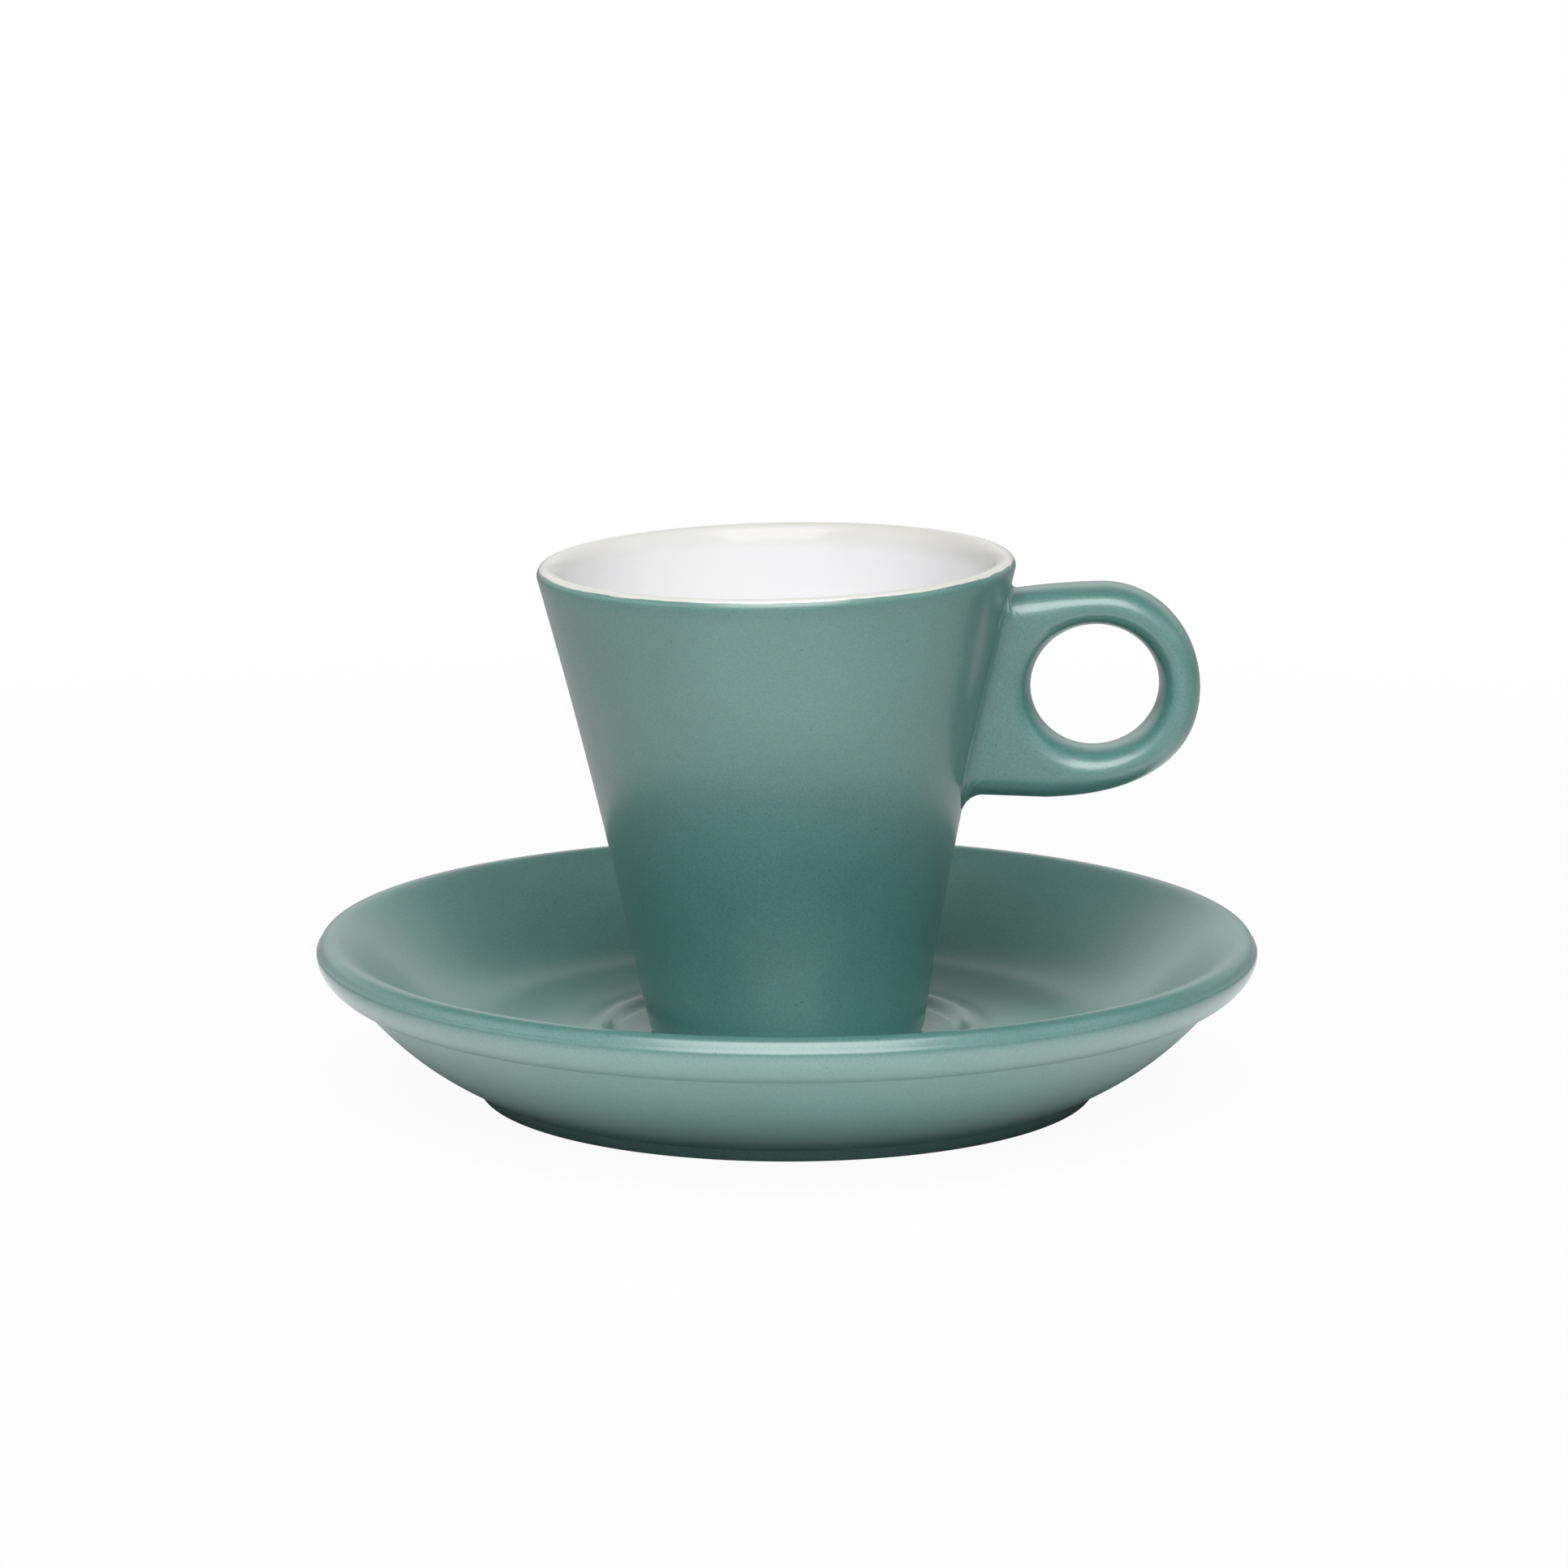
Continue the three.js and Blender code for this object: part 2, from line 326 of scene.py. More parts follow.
def thrown(name, outline, sides):
    """A piece turned on the wheel: an outline of (radius, height) points spun about the axis."""
    deselect_all()
    bpy.ops.mesh.primitive_plane_add(size=MM)
    piece = bpy.context.object
    piece.name = piece.data.name = name
    bpy.ops.object.mode_set(mode="EDIT")
    bpy.ops.mesh.select_all(action="SELECT")
    bpy.ops.mesh.merge(type="CENTER")
    radius, height = outline[0]
    bpy.ops.transform.translate(value=(radius, 0, height))
    for (r0, z0), (r1, z1) in zip(outline, outline[1:]):
        bpy.ops.mesh.extrude_vertices_move(TRANSFORM_OT_translate={"value": (r1 - r0, 0, z1 - z0)})
    bpy.ops.mesh.select_all(action="SELECT")
    bpy.ops.mesh.spin(steps=sides, angle=2 * math.pi, center=(0, 0, 0), axis=(0, 0, 1))
    return finish_mesh(piece)


def saucer_underside():
    """From the middle of the underside, over the foot ring and up the belly, to the ledge."""
    foot = SAUCER_FOOT_RADIUS
    foot_in = foot - SAUCER_FOOT_WIDTH
    path = [(0, SAUCER_FOOT_RECESS)]
    path += bend([path[-1], (foot_in - 2 * FOOT_EDGE, SAUCER_FOOT_RECESS)], CURVE_STEPS)
    path += bend([path[-1], (foot_in, SAUCER_FOOT_RECESS), (foot_in, FOOT_EDGE)], EDGE_STEPS)
    path += bend([path[-1], (foot_in, 0), (foot_in + FOOT_EDGE, 0)], EDGE_STEPS)
    path += bend([path[-1], (foot - FOOT_EDGE, 0)], FLAT_STEPS)
    path += bend([path[-1], (foot, 0), (foot, FOOT_EDGE)], EDGE_STEPS)
    path += bend([path[-1], (foot + SAUCER_FOOT_FLARE, SAUCER_FOOT_RISE)], FLAT_STEPS)
    belly_end = (LEDGE_RADIUS - LEDGE_START, LEDGE_Z)
    path += bend([path[-1], BELLY_LOW, BELLY_HIGH, belly_end], 2 * CURVE_STEPS)
    return path


def saucer_rim(start):
    """From the end of the belly, along the ledge and over the rolled rim, into the dish."""
    path = bend([start, (LEDGE_RADIUS - LEDGE_FLAT, LEDGE_Z)], LEDGE_STEPS)
    lifted = (LEDGE_RADIUS + LEDGE_TURN, LEDGE_Z + LEDGE_LIFT)
    path += bend([path[-1], (LEDGE_RADIUS, LEDGE_Z), lifted], LEDGE_STEPS)
    face = [(FACE_RADIUS, LEDGE_Z + FACE_LOW), (SAUCER_RADIUS, LEDGE_Z + FACE_HIGH)]
    path += bend([path[-1], *face, (SAUCER_RADIUS, RIM_WIDEST)], 2 * CURVE_STEPS)
    dome = (SAUCER_RADIUS - RIM_EDGE, SAUCER_TOP - RIM_DOME)
    path += bend([path[-1], (SAUCER_RADIUS, dome[1] - RIM_EDGE), dome], EDGE_STEPS)
    crest_radius = SAUCER_RADIUS - RIM_CREST
    rise = (SAUCER_RADIUS - RIM_BEND, SAUCER_TOP - RIM_BEND)
    turn = (crest_radius + 2 * RIM_BEND, SAUCER_TOP)
    path += bend([path[-1], rise, turn, (crest_radius, SAUCER_TOP)], 2 * CURVE_STEPS)
    eased = toward(SIDE_TOP, DISH_CORNER, SHOULDER_EASE)
    joined = toward(SIDE_TOP, DISH_CORNER, SHOULDER_RUN)
    path += bend([path[-1], (crest_radius - RIM_ROLL, SAUCER_TOP), eased, joined], 2 * CURVE_STEPS)
    return path


def saucer_dish(start):
    """Down the side of the dish, across its floor and over a low ridge, to the middle of the well."""
    ridge = WELL_RADIUS + WELL_SIDE
    ridge_top = DISH_FLOOR + RIDGE_HEIGHT
    ridge_foot = ridge + RIDGE_RUN / 2
    path = bend([start, toward(DISH_CORNER, SIDE_TOP, DISH_BLEND)], CURVE_STEPS)
    path += bend([path[-1], DISH_CORNER, (DISH_CORNER[0] - DISH_BLEND, DISH_FLOOR)], CURVE_STEPS)
    path += bend([path[-1], (ridge + RIDGE_RUN, DISH_FLOOR)], CURVE_STEPS)
    climb = [(ridge_foot, DISH_FLOOR), (ridge_foot, ridge_top), (ridge + RIDGE_EDGE, ridge_top)]
    path += bend([path[-1], *climb], CURVE_STEPS)
    side = [(ridge, ridge_top), (ridge - 2 * RIDGE_EDGE, ridge_top - RIDGE_EDGE)]
    path += bend([path[-1], *side], EDGE_STEPS)
    path += bend([path[-1], (WELL_RADIUS + WELL_SIDE / 3, CUP_SEAT), (WELL_RADIUS, CUP_SEAT)], CURVE_STEPS)
    path += bend([path[-1], (0, CUP_SEAT)], CURVE_STEPS)
    return path


def saucer_outline():
    """From the middle of the underside, round the rim, to the middle of the well."""
    path = saucer_underside()
    path += saucer_rim(path[-1])
    path += saucer_dish(path[-1])
    return path


def cup_radius(height):
    """The cup's outer radius at a height above its foot."""
    share = height / LIP_WIDEST
    middle = (CUP_FOOT_RADIUS + LIP_RADIUS) / 2 - CUP_SIDE_DRAW
    return (1 - share) ** 2 * CUP_FOOT_RADIUS + 2 * share * (1 - share) * middle + share ** 2 * LIP_RADIUS


def inside_radius(height):
    """The radius of the white inside, with the wall thinning towards the lip."""
    share = (height - CUP_FLOOR) / (LIP_WIDEST - CUP_FLOOR)
    return cup_radius(height) - CUP_WALL - (LIP_THICKNESS - CUP_WALL) * share


def lip_outer(turn, depth):
    """A point on the lip's outer rounding, which turns up from its widest point to its top."""
    radius = LIP_RADIUS - LIP_OUTER + (LIP_OUTER - depth) * math.cos(turn)
    return radius, LIP_WIDEST + (LIP_CROWN - depth) * math.sin(turn)


def inside_path(depth):
    """Over the lip and down the inside to the axis, set back by a depth into the wall."""
    path = []
    for step in range(CURVE_STEPS + 1):
        path.append(lip_outer(COAT_EDGE + (math.pi / 2 - COAT_EDGE) * step / CURVE_STEPS, depth))
    top = path[-1]
    wall_top = LIP_WIDEST + LIP_CROWN - LIP_INNER
    eased = (inside_radius(wall_top + LIP_EASE) + depth, wall_top + LIP_EASE)
    inner = [(top[0] - LIP_EASE, top[1]), eased, (inside_radius(wall_top) + depth, wall_top)]
    path += bend([top, *inner], 2 * CURVE_STEPS)
    corner = CUP_FLOOR + INSIDE_CORNER
    for step in range(1, 2 * CURVE_STEPS + 1):
        height = wall_top + (corner - wall_top) * step / (2 * CURVE_STEPS)
        path.append((inside_radius(height) + depth, height))
    floor = CUP_FLOOR - depth
    floor_radius = inside_radius(CUP_FLOOR) + depth
    path += bend([path[-1], (floor_radius, floor), (floor_radius - INSIDE_CORNER, floor)], 2 * CURVE_STEPS)
    path += bend([path[-1], (0, floor)], FLOOR_STEPS)
    return path


def cup_outline():
    """From the middle of the underside up the outside, over to the lining and down behind it."""
    foot_in = CUP_FOOT_RADIUS - CUP_FOOT_WIDTH
    path = [(0, CUP_FOOT_RECESS)]
    path += bend([path[-1], (foot_in - 2 * FOOT_EDGE, CUP_FOOT_RECESS)], FLOOR_STEPS)
    path += bend([path[-1], (foot_in, CUP_FOOT_RECESS), (foot_in, FOOT_EDGE)], EDGE_STEPS)
    path += bend([path[-1], (foot_in, 0), (foot_in + FOOT_EDGE, 0)], EDGE_STEPS)
    path += bend([path[-1], (CUP_FOOT_RADIUS - CUP_FOOT_FLAT, 0)], FLAT_STEPS)
    wall_start = (cup_radius(CUP_FOOT_EDGE), CUP_FOOT_EDGE)
    path += bend([path[-1], (CUP_FOOT_RADIUS - CUP_FOOT_PULL, 0), wall_start], EDGE_STEPS)
    steps = 4 * CURVE_STEPS
    for step in range(1, steps + 1):
        height = CUP_FOOT_EDGE + (LIP_WIDEST - CUP_FOOT_EDGE) * (step / steps)
        path.append((cup_radius(height), height))
    path += [lip_outer(COAT_EDGE * step / CURVE_STEPS, 0) for step in range(1, CURVE_STEPS + 1)]
    return path + inside_path(LINING)


def lining_outline():
    """A closed coat: up behind the white, over the lip's edge and down its face."""
    return inside_path(LINING)[::-1] + inside_path(0)


def raised(outline, height):
    return [(r, z + height) for r, z in outline]


def lean(piece):
    """Tips the cup's wall to one side, as it settled in the kiln, and leaves its foot flat."""
    for vertex in piece.data.vertices:
        x, y, z = vertex.co
        height = z - CUP_SEAT
        share = min(1, max(0, height / LEAN_RISE))
        turn = CUP_LEAN * share ** 2 * (3 - 2 * share)
        across = x * math.cos(turn) - height * math.sin(turn)
        vertex.co = (across, y, CUP_SEAT + height * math.cos(turn) + x * math.sin(turn))


def wall_radius(z):
    return cup_radius(z - CUP_SEAT)


def handle_edge():
    """The loop's free edge, from inside the wall below, round the end, to inside the wall above."""
    low_x = wall_radius(HANDLE_BOTTOM) - HANDLE_SINK
    path = [(low_x, HANDLE_BOTTOM + BOTTOM_SLOPE * (BOTTOM_END - low_x))]
    path += bend([path[-1], (BOTTOM_END, HANDLE_BOTTOM)], BOTTOM_STEPS)
    lower = [(BOTTOM_PULL, HANDLE_BOTTOM), (HANDLE_END, END_PULL), (HANDLE_END, LOOP_Z)]
    path += bend([path[-1], *lower], LOWER_STEPS)
    for step in range(1, UPPER_STEPS + 1):
        turn = math.pi / 2 * step / UPPER_STEPS
        path.append((LOOP_X + LOOP_ACROSS * math.cos(turn), LOOP_Z + LOOP_RADIUS * math.sin(turn)))
    top_z = path[-1][1]
    knee_z = top_z - KNEE_DROP
    path += bend([path[-1], (TOP_PULL, top_z), (KNEE_X, knee_z)], KNEE_STEPS)
    high_x = wall_radius(knee_z) - HANDLE_SINK
    path += bend([path[-1], (high_x, knee_z - TOP_SLOPE * (KNEE_X - high_x))], KNEE_STEPS)
    return path


def wall_edge(start, end):
    """The edge that is sunk into the cup's wall, between the free edge's two ends."""
    path = []
    for step in range(1, WALL_STEPS):
        z = start[1] + (end[1] - start[1]) * step / WALL_STEPS
        path.append((wall_radius(z) - HANDLE_SINK, z))
    return path


def distance_to(path, x, z):
    """The shortest way from a point to a path of straight steps."""
    best = math.inf
    for (x0, z0), (x1, z1) in zip(path, path[1:]):
        dx, dz = x1 - x0, z1 - z0
        share = ((x - x0) * dx + (z - z0) * dz) / (dx * dx + dz * dz)
        share = min(1, max(0, share))
        best = min(best, math.hypot(x - x0 - dx * share, z - z0 - dz * share))
    return best


def half_thickness(from_hole, from_edge):
    """Half the loop's thickness at a point, from its distances to the hole and to the free edge.
    The section is flat in the middle and falls away to both sides as a squarish oval."""
    reach = min(EDGE_REACH, (from_hole + from_edge) / 2)
    outward = max(0, 1 - min(from_hole, from_edge) / reach)
    return HANDLE_HALF * (1 - outward ** EDGE_OVAL) ** (1 / EDGE_OVAL)


def edge_steps(reach):
    """Distances in from an edge, spread evenly round the oval."""
    turns = [math.pi / 2 * (1 - step / ROUND_STEPS) for step in range(ROUND_STEPS + 1)]
    return [reach * (1 - math.sin(turn) ** (2 / EDGE_OVAL)) for turn in turns]


def spoke(ends, index, free):
    """Points from the hole out to one point of the edge, each with its distance from the hole.
    Where the spoke meets a free edge at a slant, the edge's rounding takes up more of it."""
    x, z = ends[index]
    away = math.hypot(x - HOLE_X, z - HOLE_Z)
    ux, uz = (x - HOLE_X) / away, (z - HOLE_Z) / away
    hole = 1 / math.hypot(ux / HOLE_ACROSS, uz / HOLE_UP)
    width = away - hole
    if free:
        (xa, za), (xb, zb) = ends[index - 1], ends[(index + 1) % len(ends)]
        along = math.hypot(xb - xa, zb - za)
        square = max(LEAST_SQUARE, abs(ux * (zb - za) - uz * (xb - xa)) / along)
        back = edge_steps(min(EDGE_REACH / square, EDGE_SHARE * width))
    else:
        back = [WALL_BAND * step / ROUND_STEPS for step in range(ROUND_STEPS + 1)]
    steps = edge_steps(min(EDGE_REACH, EDGE_SHARE * width))
    outer = [width - distance for distance in reversed(back)]
    first, last = steps[-1], outer[0]
    steps += [first + (last - first) * step / MIDDLE_STEPS for step in range(1, MIDDLE_STEPS)]
    steps += outer
    return [(HOLE_X + ux * (hole + s), HOLE_Z + uz * (hole + s), s) for s in steps]


def loop_rows(edge, sunk):
    """Rows of (x, half thickness, z) points round the finger hole, from the hole out to the edge."""
    ends = edge + sunk
    spokes = [spoke(ends, index, index < len(edge)) for index in range(len(ends))]
    rows = []
    for places in zip(*spokes):
        rows.append([(x, half_thickness(s, distance_to(edge, x, z)), z) for x, z, s in places])
    return rows


def round_hole(x, z):
    return math.atan2(z - HOLE_Z, x - HOLE_X)


def place_row(piece, row):
    """Puts the selected ring of points at a row's places, in order round the hole."""
    mesh = bmesh.from_edit_mesh(piece.data)
    ring = sorted((v for v in mesh.verts if v.select), key=lambda v: round_hole(v.co.x, v.co.z))
    for vertex, place in zip(ring, sorted(row, key=lambda p: round_hole(p[0], p[2]))):
        vertex.co = place
    bmesh.update_edit_mesh(piece.data)


def filleted(x, y, z, edge):
    """Spreads a point of the loop along the cup's wall, so that a hollow curve joins the two."""
    distance = math.hypot(x, y) - wall_radius(z)
    if distance > max(FILLET_SIDE, FILLET_BOTTOM):
        return x, y, z
    outward = max(0, 1 - distance_to(edge, x, z) / EDGE_REACH)
    inward = (1 - outward ** EDGE_OVAL) ** (1 / EDGE_OVAL)
    slope = EDGE_OVAL - 1
    tilt = math.atan2(HANDLE_HALF * outward ** slope, EDGE_REACH * inward ** slope)
    up, across = math.sin(tilt), math.cos(tilt)
    end = FILLET_TOP if z > HOLE_Z else FILLET_BOTTOM
    fillet = FILLET_SIDE * across ** 2 + end * up ** 2
    if distance > fillet:
        return x, y, z
    spread = fillet - math.sqrt(fillet ** 2 - (fillet - max(distance, 0)) ** 2)
    turn = math.atan2(y, x) + math.copysign(across, y) * spread / math.hypot(x, y)
    z += math.copysign(up, z - HOLE_Z) * spread
    radius = wall_radius(z) + distance
    return radius * math.cos(turn), radius * math.sin(turn), z


def handle_loop():
    """The handle: the hole's ring is drawn out over the front, round the edge and back behind."""
    edge = handle_edge()
    sunk = wall_edge(edge[-1], edge[0])
    rows = loop_rows(edge, sunk)
    front = [[(x, -y, z) for x, y, z in row] for row in rows]
    deselect_all()
    bpy.ops.mesh.primitive_circle_add(vertices=len(rows[0]), radius=HOLE_ACROSS, fill_type="NOTHING",
                                      location=(HOLE_X, 0, HOLE_Z), rotation=(math.pi / 2, 0, 0))
    bpy.ops.object.transform_apply()
    piece = bpy.context.object
    piece.name = piece.data.name = "glazed_handle"
    bpy.ops.object.mode_set(mode="EDIT")
    bpy.ops.mesh.select_all(action="SELECT")
    place_row(piece, front[0])
    for row in [*front[1:], *reversed(rows)]:
        bpy.ops.mesh.extrude_edges_move()
        place_row(piece, row)
    finish_mesh(piece)
    for vertex in piece.data.vertices:
        vertex.co = filleted(*vertex.co, edge)
    return piece


def satin_green_glaze():
    """Satin zinc glaze over stoneware: soft wide reflections under a thin clear skin, a fine sugary
    grain, clouded tone, and a scatter of dark pinholes left by gas in the kiln. On the cup it ends
    in a slightly wavering line below the lip, where the white shows."""
    material, tree = new_material("satin_green_glaze")
    place = add(tree, "TexCoord", {}).outputs["Object"]
    cloud = add(tree, "TexNoise", {"Vector": place, "Scale": per_mm(GLAZE_CLOUD), "Detail": 2})
    grain = add(tree, "TexNoise", {"Vector": place, "Scale": per_mm(GLAZE_GRAIN), "Detail": 2}).outputs["Fac"]
    tone = add(tree, "MapRange", {0: cloud.outputs["Fac"], 1: 0.3, 2: 0.7, 3: 0.0, 4: 1.0})
    body = add(tree, "Mix", {0: tone.outputs[0], 6: linear("#3d786f"), 7: linear("#458077")},
               data_type="RGBA")
    fleck = add(tree, "MapRange", {0: grain, 1: 0.25, 2: 0.75, 3: 0.74, 4: 1.26})
    grained = add(tree, "Mix", {0: 1.0, 6: body.outputs[2], 7: fleck.outputs[0]},
                  data_type="RGBA", blend_type="MULTIPLY")
    holes = add(tree, "TexVoronoi", {"Vector": place, "Scale": per_mm(PINHOLE_SPACING)})
    hole = add(tree, "MapRange", {0: holes.outputs["Distance"], 1: 0.03, 2: 0.055, 3: 0.75, 4: 0.0})
    pitted = add(tree, "Mix", {0: hole.outputs[0], 6: grained.outputs[2], 7: linear("#24332f")},
                 data_type="RGBA")
    foot = add(tree, "VectorMath", {0: place, 1: (0, 0, CUP_SEAT)}, operation="SUBTRACT").outputs[0]
    axis = (-math.sin(CUP_LEAN), 0, math.cos(CUP_LEAN))
    height = add(tree, "VectorMath", {0: foot, 1: axis}, operation="DOT_PRODUCT").outputs["Value"]
    wave = add(tree, "TexNoise", {"Vector": place, "Scale": per_mm(LIP_LINE_WAVE), "Detail": 3})
    line = add(tree, "Math", {0: wave.outputs["Fac"], 1: LIP_LINE_RISE, 2: height},
               operation="MULTIPLY_ADD").outputs[0]
    start = LIP_WIDEST + LIP_CROWN * math.sin(COAT_EDGE)
    white = add(tree, "MapRange", {0: line, 1: start, 2: start + LIP_LINE_BLUR, 3: 0.0, 4: 1.0})
    colour = add(tree, "Mix", {0: white.outputs[0], 6: pitted.outputs[2], 7: linear("#e6e5df")},
                 data_type="RGBA")
    rough = add(tree, "MapRange", {0: grain, 1: 0.3, 2: 0.7, 3: 0.47, 4: 0.52})
    relief = add(tree, "Bump", {"Height": grain, "Strength": 0.12, "Distance": GRAIN_DEPTH})
    shader = add(tree, "BsdfPrincipled", {
        "Base Color": colour.outputs[2], "Roughness": rough.outputs[0], "Normal": relief.outputs[0],
        "IOR": 1.65, "Specular IOR Level": 1.0,
        "Coat Weight": 0.75, "Coat Roughness": 0.2, "Coat IOR": 1.5, "Coat Normal": relief.outputs[0]})
    add(tree, "OutputMaterial", {"Surface": shader.outputs[0]})
    return material


def glossy_white_glaze():
    """Clear glaze over white slip: bright, mirror-smooth, and creamier on the lip where it thins."""
    material, tree = new_material("glossy_white_glaze")
    place = add(tree, "TexCoord", {}).outputs["Object"]
    height = add(tree, "SeparateXYZ", {0: place}).outputs["Z"]
    lip = add(tree, "MapRange", {0: height, 1: LIP_TOP - LIP_CREAM, 2: LIP_TOP, 3: 0.0, 4: 1.0})
    cloud = add(tree, "TexNoise", {"Vector": place, "Scale": per_mm(WHITE_CLOUD), "Detail": 2}).outputs["Fac"]
    body = add(tree, "Mix", {0: cloud, 6: linear("#ececee"), 7: linear("#efefef")}, data_type="RGBA")
    colour = add(tree, "Mix", {0: lip.outputs[0], 6: body.outputs[2], 7: linear("#dbdad5")},
                 data_type="RGBA")
    wave = add(tree, "TexNoise", {"Vector": place, "Scale": per_mm(WHITE_WAVE), "Detail": 1}).outputs["Fac"]
    relief = add(tree, "Bump", {"Height": wave, "Strength": 0.2, "Distance": WAVE_DEPTH})
    shader = add(tree, "BsdfPrincipled", {
        "Base Color": colour.outputs[2], "Roughness": 0.15, "IOR": 1.5, "Specular IOR Level": 0.25,
        "Normal": relief.outputs[0]})
    add(tree, "OutputMaterial", {"Surface": shader.outputs[0]})
    return material


def bare_clay():
    """Fired stoneware, wiped clean of glaze where it stands in the kiln: dry, pale and gritty."""
    material, tree = new_material("bare_stoneware")
    place = add(tree, "TexCoord", {}).outputs["Object"]
    grit = add(tree, "TexNoise", {"Vector": place, "Scale": per_mm(CLAY_GRIT), "Detail": 4}).outputs["Fac"]
    colour = add(tree, "Mix", {0: grit, 6: linear("#bfb5a4"), 7: linear("#dcd5c8")}, data_type="RGBA")
    relief = add(tree, "Bump", {"Height": grit, "Strength": 0.4, "Distance": GRIT_DEPTH})
    shader = add(tree, "BsdfPrincipled", {
        "Base Color": colour.outputs[2], "Roughness": 0.85, "Normal": relief.outputs[0]})
    add(tree, "OutputMaterial", {"Surface": shader.outputs[0]})
    return material


def wipe_foot(piece, clay, level):
    """Bares the clay on the ring that a piece stands on, where its faces look down."""
    piece.data.materials.append(clay)
    for face in piece.data.polygons:
        if face.center.z < level + WIPE_HEIGHT and face.normal.z < -0.5:
            face.material_index = 1


def paper_floor():
    """White paper. The camera sees it white, with the object's soft shadow close to the saucer. Its
    tone is painted darker near the foot as shade, and darker far out as a painted fall-off of the
    softbox's light; the gloss sees a painted gleam on it, in a ring round the front."""
    deselect_all()
    bpy.ops.mesh.primitive_plane_add(size=FLOOR_SIZE, location=(0, 0, -FLOOR_GAP))
    floor = bpy.context.object
    floor.name = "floor"
    material, tree = new_material("white_paper")
    path = add(tree, "LightPath", {})
    place = add(tree, "TexCoord", {}).outputs["Object"]
    away = add(tree, "VectorMath", {0: place}, operation="LENGTH").outputs["Value"]
    # Painted shade: the paper's tone drops close to the saucer's foot
    tone = add(tree, "MapRange", {0: away, 1: SHADE_START, 2: SHADE_END, 3: SHADE_TONE, 4: PAPER_TONE},
               interpolation_type="SMOOTHSTEP").outputs[0]
    # Painted fall-off of the softbox's light: the paper darkens far from the saucer
    far_shade = add(tree, "MapRange", {0: away, 1: GLEAM_FADE, 2: PAPER_END, 3: 1.0, 4: FAR_SHADE_TONE},
               interpolation_type="SMOOTHSTEP").outputs[0]
    painted_tone = add(tree, "Math", {0: tone, 1: far_shade}, operation="MULTIPLY").outputs[0]
    paper = add(tree, "BsdfDiffuse", {"Color": painted_tone}).outputs[0]
    white = add(tree, "MapRange", {0: away, 1: SHADE_END, 2: WHITE_START, 3: SHADE_WHITE, 4: 1.0},
                interpolation_type="SMOOTHSTEP").outputs[0]
    seen = add(tree, "Math", {0: path.outputs["Is Camera Ray"], 1: white}, operation="MULTIPLY").outputs[0]
    backdrop = add(tree, "Emission", {"Strength": 1.0}).outputs[0]
    shown = add(tree, "MixShader", {0: seen, 1: paper, 2: backdrop}).outputs[0]
    # Painted light: the floor shines in the gloss only, in a ring round the front where the softbox would
    # light it
    near = add(tree, "MapRange", {0: away, 1: GLEAM_NEAR, 2: GLEAM_START, 3: 0.0, 4: 1.0},
               interpolation_type="SMOOTHSTEP").outputs[0]
    far = add(tree, "MapRange", {0: away, 1: GLEAM_FADE, 2: GLEAM_END, 3: GLEAM, 4: GLEAM_FAR},
              interpolation_type="SMOOTHSTEP").outputs[0]
    ring = add(tree, "Math", {0: near, 1: far}, operation="MULTIPLY").outputs[0]
    outward = add(tree, "VectorMath", {0: place}, operation="NORMALIZE").outputs[0]
    ahead = add(tree, "VectorMath", {0: outward, 1: (0, -1, 0)}, operation="DOT_PRODUCT").outputs["Value"]
    front = add(tree, "MapRange", {0: ahead, 3: GLEAM_SIDE, 4: 1.0}).outputs[0]
    gleam = add(tree, "Math", {0: ring, 1: front}, operation="MULTIPLY").outputs[0]
    mirrored = add(tree, "Math", {0: path.outputs["Is Glossy Ray"], 1: gleam}, operation="MULTIPLY")
    glow = add(tree, "Emission", {"Strength": mirrored.outputs[0]}).outputs[0]
    both = add(tree, "AddShader", {0: shown, 1: glow}).outputs[0]
    add(tree, "OutputMaterial", {"Surface": both})
    floor.data.materials.append(material)


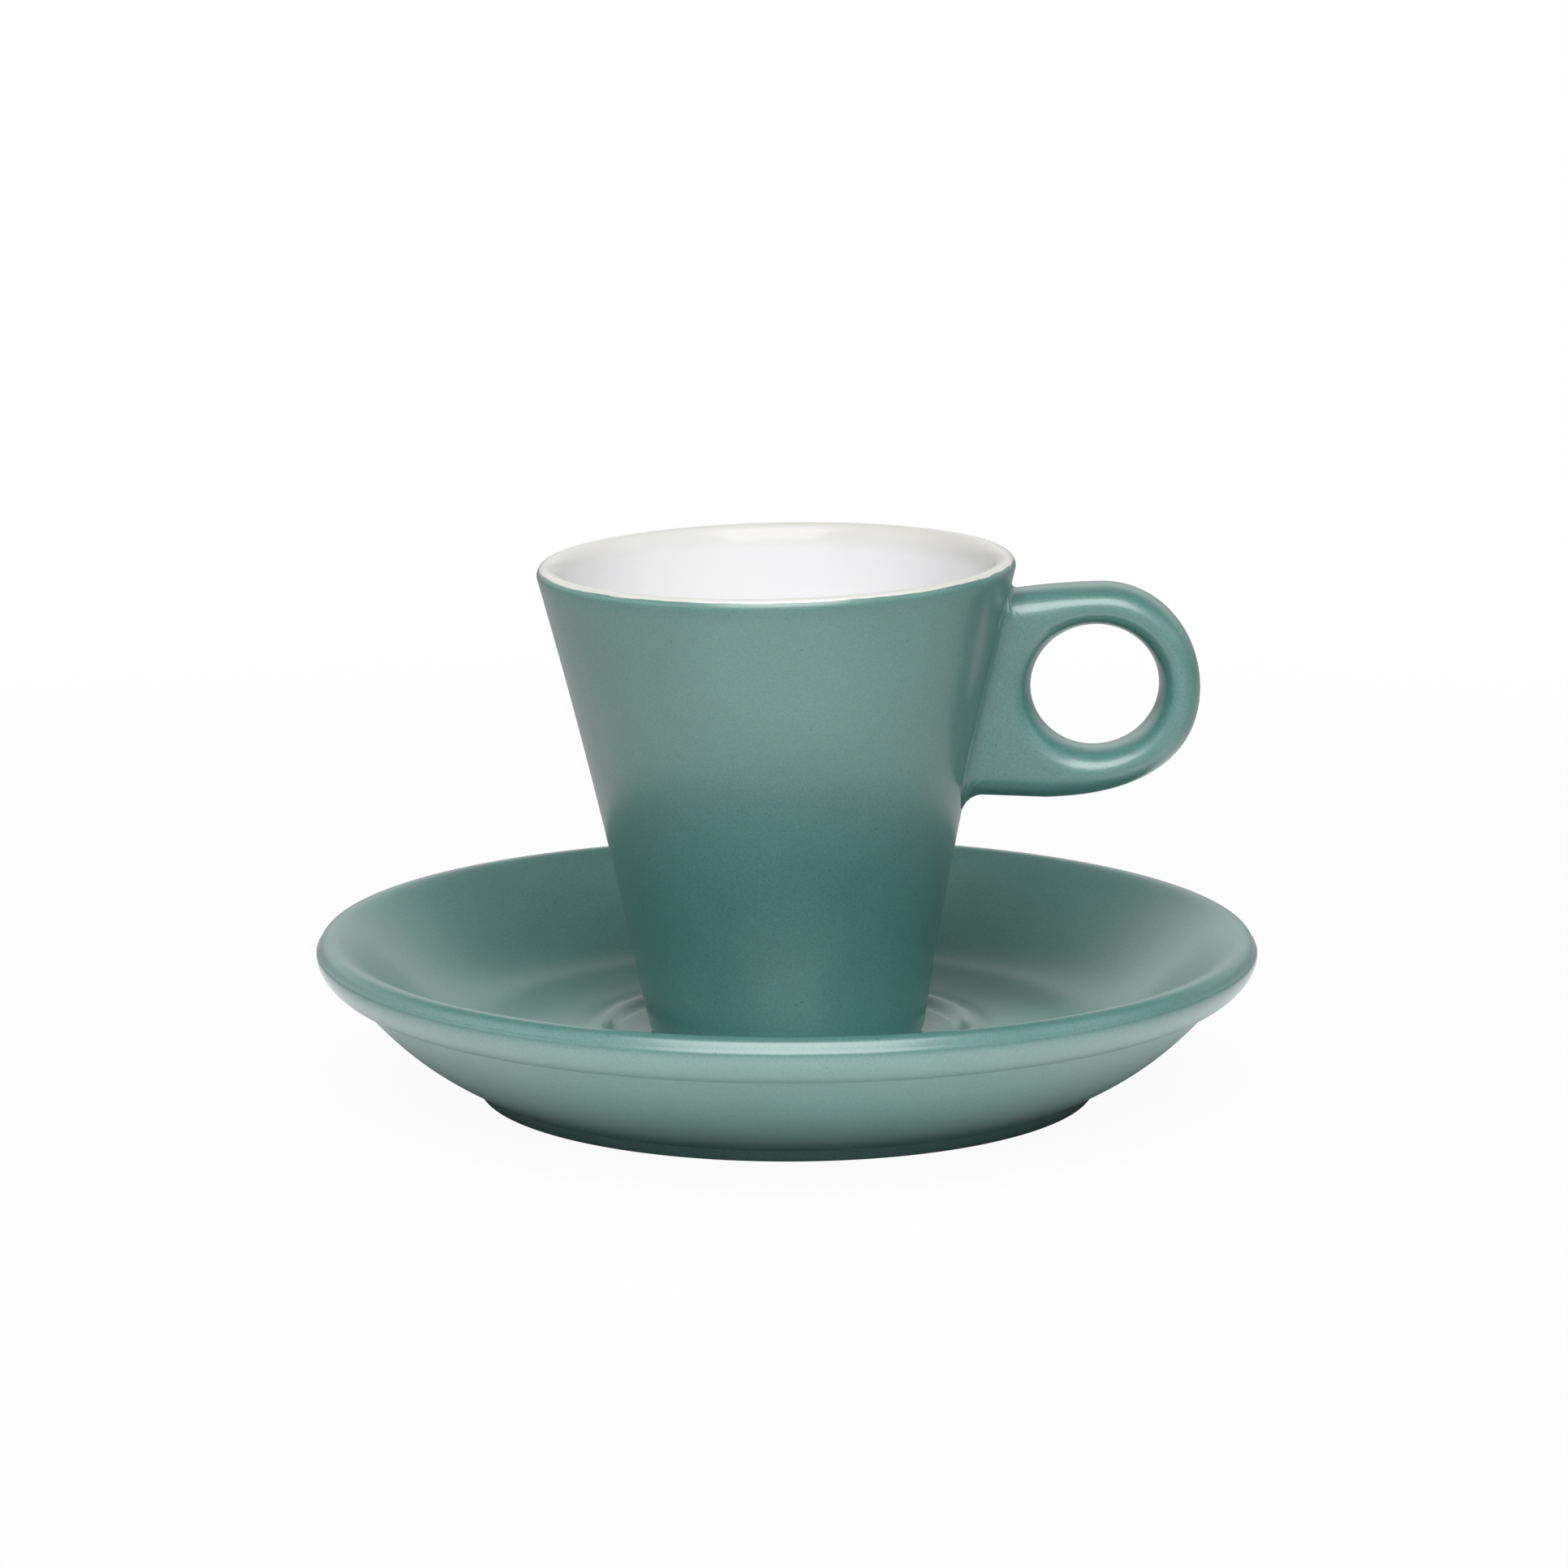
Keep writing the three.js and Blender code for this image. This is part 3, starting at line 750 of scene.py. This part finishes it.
def white_sweep():
    """The room. The camera sees plain white. The gloss sees a dim room with a pale sweep that is
    brightest at the left and behind, and a light high up on each side. Matt surfaces get a little
    light from the ceiling and from the sweep behind."""
    world = bpy.data.worlds.new("studio")
    bpy.context.scene.world = world
    world.use_nodes = True
    tree = world.node_tree
    tree.nodes.clear()
    way = add(tree, "SeparateXYZ", {0: add(tree, "TexCoord", {}).outputs["Generated"]})
    side, depth, height = (way.outputs[axis] for axis in ("X", "Y", "Z"))

    # The sweep: its tone from left to right, its height, and a duller band at the horizon
    across = add(tree, "MapRange", {0: side, 1: -1.0, 2: 1.0, 3: SWEEP_LEFT, 4: SWEEP_RIGHT}).outputs[0]
    low = add(tree, "MapRange", {0: height, 1: SWEEP_FADE, 2: SWEEP_TOP, 3: 1.0, 4: 0.0},
              interpolation_type="SMOOTHSTEP").outputs[0]
    dusk = add(tree, "MapRange", {0: height, 1: HORIZON_LOW, 2: HORIZON_HIGH, 3: HORIZON_TONE, 4: 1.0},
               interpolation_type="SMOOTHSTEP").outputs[0]
    sweep = add(tree, "Math", {0: low, 1: dusk}, operation="MULTIPLY").outputs[0]
    behind = add(tree, "MapRange", {0: depth, 1: BEHIND_START, 2: BEHIND_FULL, 3: 0.0, 4: 1.0},
                 interpolation_type="SMOOTHSTEP").outputs[0]
    back = add(tree, "Math", {0: behind, 1: sweep}, operation="MULTIPLY").outputs[0]
    sides = add(tree, "Math", {0: across, 1: sweep, 2: ROOM_TONE}, operation="MULTIPLY_ADD").outputs[0]
    swept = add(tree, "Math", {0: back, 1: SWEEP_BEHIND, 2: sides}, operation="MULTIPLY_ADD").outputs[0]

    # The light on each side, which fades towards the floor and behind the object
    aside = add(tree, "Math", {0: side}, operation="ABSOLUTE").outputs[0]
    flank = add(tree, "MapRange", {0: aside, 1: FLANK_WIDE, 2: FLANK_FULL, 3: 0.0, 4: FLANK_LIGHT},
                interpolation_type="SMOOTHSTEP").outputs[0]
    climb = add(tree, "MapRange", {0: height, 1: FLANK_LOW, 2: FLANK_HIGH, 3: 0.0, 4: 1.0},
                interpolation_type="SMOOTHSTEP").outputs[0]
    ahead = add(tree, "MapRange", {0: depth, 1: 0.0, 2: FLANK_BACK, 3: 1.0, 4: 0.0},
                interpolation_type="SMOOTHSTEP").outputs[0]
    flanked = add(tree, "Math", {0: flank, 1: climb}, operation="MULTIPLY").outputs[0]
    room = add(tree, "Math", {0: flanked, 1: ahead, 2: swept}, operation="MULTIPLY_ADD").outputs[0]

    # The light on matt surfaces, and the white that the camera sees
    ceiling = add(tree, "MapRange", {0: height, 1: CEILING_START, 2: 1.0, 3: SWEEP_FILL, 4: CEILING_FILL},
                  interpolation_type="SMOOTHSTEP").outputs[0]
    fill = add(tree, "Math", {0: back, 1: SWEEP_GLOW, 2: ceiling}, operation="MULTIPLY_ADD").outputs[0]
    path = add(tree, "LightPath", {})
    lit = add(tree, "MapRange", {0: path.outputs["Is Glossy Ray"], 3: fill, 4: room}).outputs[0]
    strength = add(tree, "Math", {0: lit, 1: path.outputs["Is Camera Ray"]}, operation="MAXIMUM").outputs[0]
    sky = add(tree, "Background", {"Color": (1, 1, 1, 1), "Strength": strength})
    add(tree, "OutputWorld", {"Surface": sky.outputs[0]})


def softbox():
    """One wide softbox in front, above the camera."""
    lamp = bpy.data.lights.new("softbox", "AREA")
    lamp.shape = "RECTANGLE"
    lamp.size = BOX_WIDTH
    lamp.size_y = BOX_HEIGHT
    lamp.energy = BOX_POWER
    box = bpy.data.objects.new("softbox", lamp)
    bpy.context.scene.collection.objects.link(box)
    level = BOX_DISTANCE * math.cos(BOX_UP)
    rise = BOX_DISTANCE * math.sin(BOX_UP)
    box.location = (level * math.sin(BOX_ASIDE), -level * math.cos(BOX_ASIDE), rise)
    box.rotation_euler = (math.pi / 2 - BOX_UP, 0, BOX_ASIDE)


def place_camera():
    """The camera where the photograph was taken from."""
    camera = bpy.data.objects.new("camera", bpy.data.cameras.new("camera"))
    bpy.context.scene.collection.objects.link(camera)
    camera.location = CAMERA_PLACE
    camera.rotation_euler = (math.pi / 2 - CAMERA_DOWN, 0, 0)
    camera.data.lens = CAMERA_LENS
    camera.data.sensor_width = CAMERA_SENSOR
    bpy.context.scene.camera = camera


saucer = thrown("glazed_saucer", saucer_outline(), SAUCER_SIDES)
cup = thrown("glazed_cup", raised(cup_outline(), CUP_SEAT), CUP_SIDES)
lining = thrown("white_lining", raised(lining_outline(), CUP_SEAT), CUP_SIDES)
handle = handle_loop()
for piece in (cup, lining, handle):
    lean(piece)

green = satin_green_glaze()
white = glossy_white_glaze()
clay = bare_clay()
for piece in (saucer, cup, handle):
    piece.data.materials.append(green)
lining.data.materials.append(white)
wipe_foot(saucer, clay, 0)
wipe_foot(cup, clay, CUP_SEAT)

for piece, body, node, slot in (
    (saucer, "saucer", "saucer", "green_glaze"),
    (cup, "cup", "cup_body", "green_glaze"),
    (lining, "cup", "cup_lining", "white_glaze"),
    (handle, "cup", "cup_handle", "green_glaze"),
):
    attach(piece, body)
    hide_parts(node)

paper_floor()
white_sweep()
softbox()
place_camera()
bpy.context.scene.view_settings.view_transform = "Standard"
